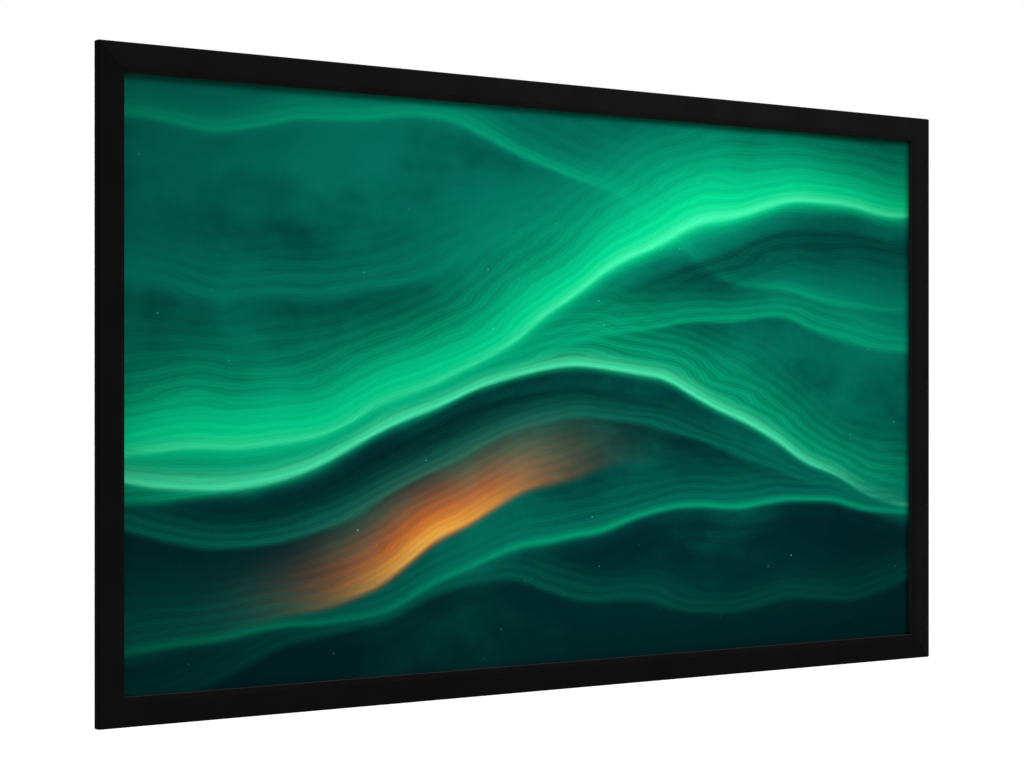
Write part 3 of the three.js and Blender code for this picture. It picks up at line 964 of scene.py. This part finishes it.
screwSizes = {  # radii, lengths and depths
    "clamp": {
        "shaft": 2.0,
        "shaftLength": 5.7,
        "head": 3.7,
        "headHeight": 2.2,
        "socket": 1.5,
        "socketDepth": 1.3,
    },
    "bar": {
        "shaft": 1.5,
        "shaftLength": 3.7,
        "head": 2.9,
        "headHeight": 2.0,
        "socket": 1.2,
        "socketDepth": 1.1,
    },
}
screwForm = {
    "sides": 36,
    "root": 0.84,  # of the shaft's radius
    "tip": 0.8,  # of the root's radius
    "threadStart": 0.4,
    "threadPitch": 0.7,
    "plain": 0.9,  # what the thread leaves of the shaft's length, tip and neck together
}


def screwMesh(kind):  # stands on its shaft's tip, with the head up along z
    size = screwSizes[kind]
    length, top = size["shaftLength"], size["shaftLength"] + size["headHeight"]
    crest, root = size["shaft"], size["shaft"] * screwForm["root"]
    rings = [("round", root * screwForm["tip"], 0), ("round", root, 0.3)]
    for i in range(int((length - screwForm["plain"]) / screwForm["threadPitch"])):
        low = screwForm["threadStart"] + i * screwForm["threadPitch"]
        rings += [("round", root, low), ("round", crest, low + 0.3), ("round", crest, low + 0.4)]
    rings += [  # neck, head with its chamfers, then down into the socket
        ("round", crest, length),
        ("round", size["head"] - 0.15, length),
        ("round", size["head"], length + 0.15),
        ("round", size["head"], top - 0.5),
        ("round", size["head"] - 0.12, top - 0.2),
        ("round", size["head"] - 0.5, top),
        ("hex", size["socket"] + 0.18, top),
        ("hex", size["socket"], top - 0.18),
        ("hex", size["socket"], top - size["socketDepth"]),
    ]
    rows = []
    for shape, radius, height in rings:
        row = []
        for angle in fullTurn(screwForm["sides"]):
            fold = (angle + math.pi / 6) % (math.pi / 3) - math.pi / 6  # from a flat's middle
            far = radius * math.cos(math.pi / 6) / math.cos(fold) if shape == "hex" else radius
            row.append((far * math.cos(angle) * mm, far * math.sin(angle) * mm, height * mm))
        rows.append(row)
    vertices, faces = capped(rows)
    mesh = bpy.data.meshes.new(kind + "_screw")
    mesh.from_pydata(vertices, [], faces)
    reshape(mesh, lambda form: bmesh.ops.poke(form, faces=[f for f in form.faces if len(f.verts) > 4]))
    mesh.materials.append(screwSteel)
    mesh.shade_smooth()
    mesh.set_sharp_from_angle(angle=math.radians(35))
    return mesh


def addScrews():
    meshes = {kind: screwMesh(kind) for kind in screwSizes}
    for name in sorted(nodes):
        if "_screw_" not in name:
            continue
        low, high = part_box(name)
        middle = (low + high) / 2
        if name.startswith("support_bar"):
            kind = "bar"
            upper = name.startswith("support_bar_screw_top")
            tip = (middle.x, middle.y, high.z if upper else low.z)
            tilt = (math.pi if upper else 0, 0, 0)
        else:
            kind = "clamp"
            tip = (middle.x, low.y, middle.z)
            tilt = (-math.pi / 2, 0, 0)
        made = bpy.data.objects.new("socket_" + name, meshes[kind])
        made.location = tip
        made.rotation_euler = tilt
        bpy.context.scene.collection.objects.link(made)
        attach(made, "root")
        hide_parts(name)


addScrews()
print("screws driven")


# Pieces kept from the frame: rails, plates, brackets and the support bar

edges = {"rail": 0.15, "bar": 0.5, "plate": 0.35}  # how wide each one's softened edges are


def dress(name, material, edgeWidth):
    piece = nodes[name]
    piece.data.materials.clear()
    piece.data.materials.append(material)
    soften = piece.modifiers.new("soft_edges", "BEVEL")
    soften.width = edgeWidth * mm
    soften.segments = 2
    soften.limit_method = "ANGLE"
    soften.angle_limit = math.radians(50)
    soften.harden_normals = True


for name in sorted(nodes):
    if nodes[name].hide_render:  # a piece above has replaced it
        continue
    if "_rail_" in name:
        dress(name, railMaterials["x"], edges["rail"])
    elif name.endswith("_stile"):
        dress(name, railMaterials["z"], edges["rail"])
    elif name == "support_bar":
        dress(name, railMaterials["z"], edges["bar"])
    else:
        dress(name, zincSteel, edges["plate"])
print("frame pieces dressed")
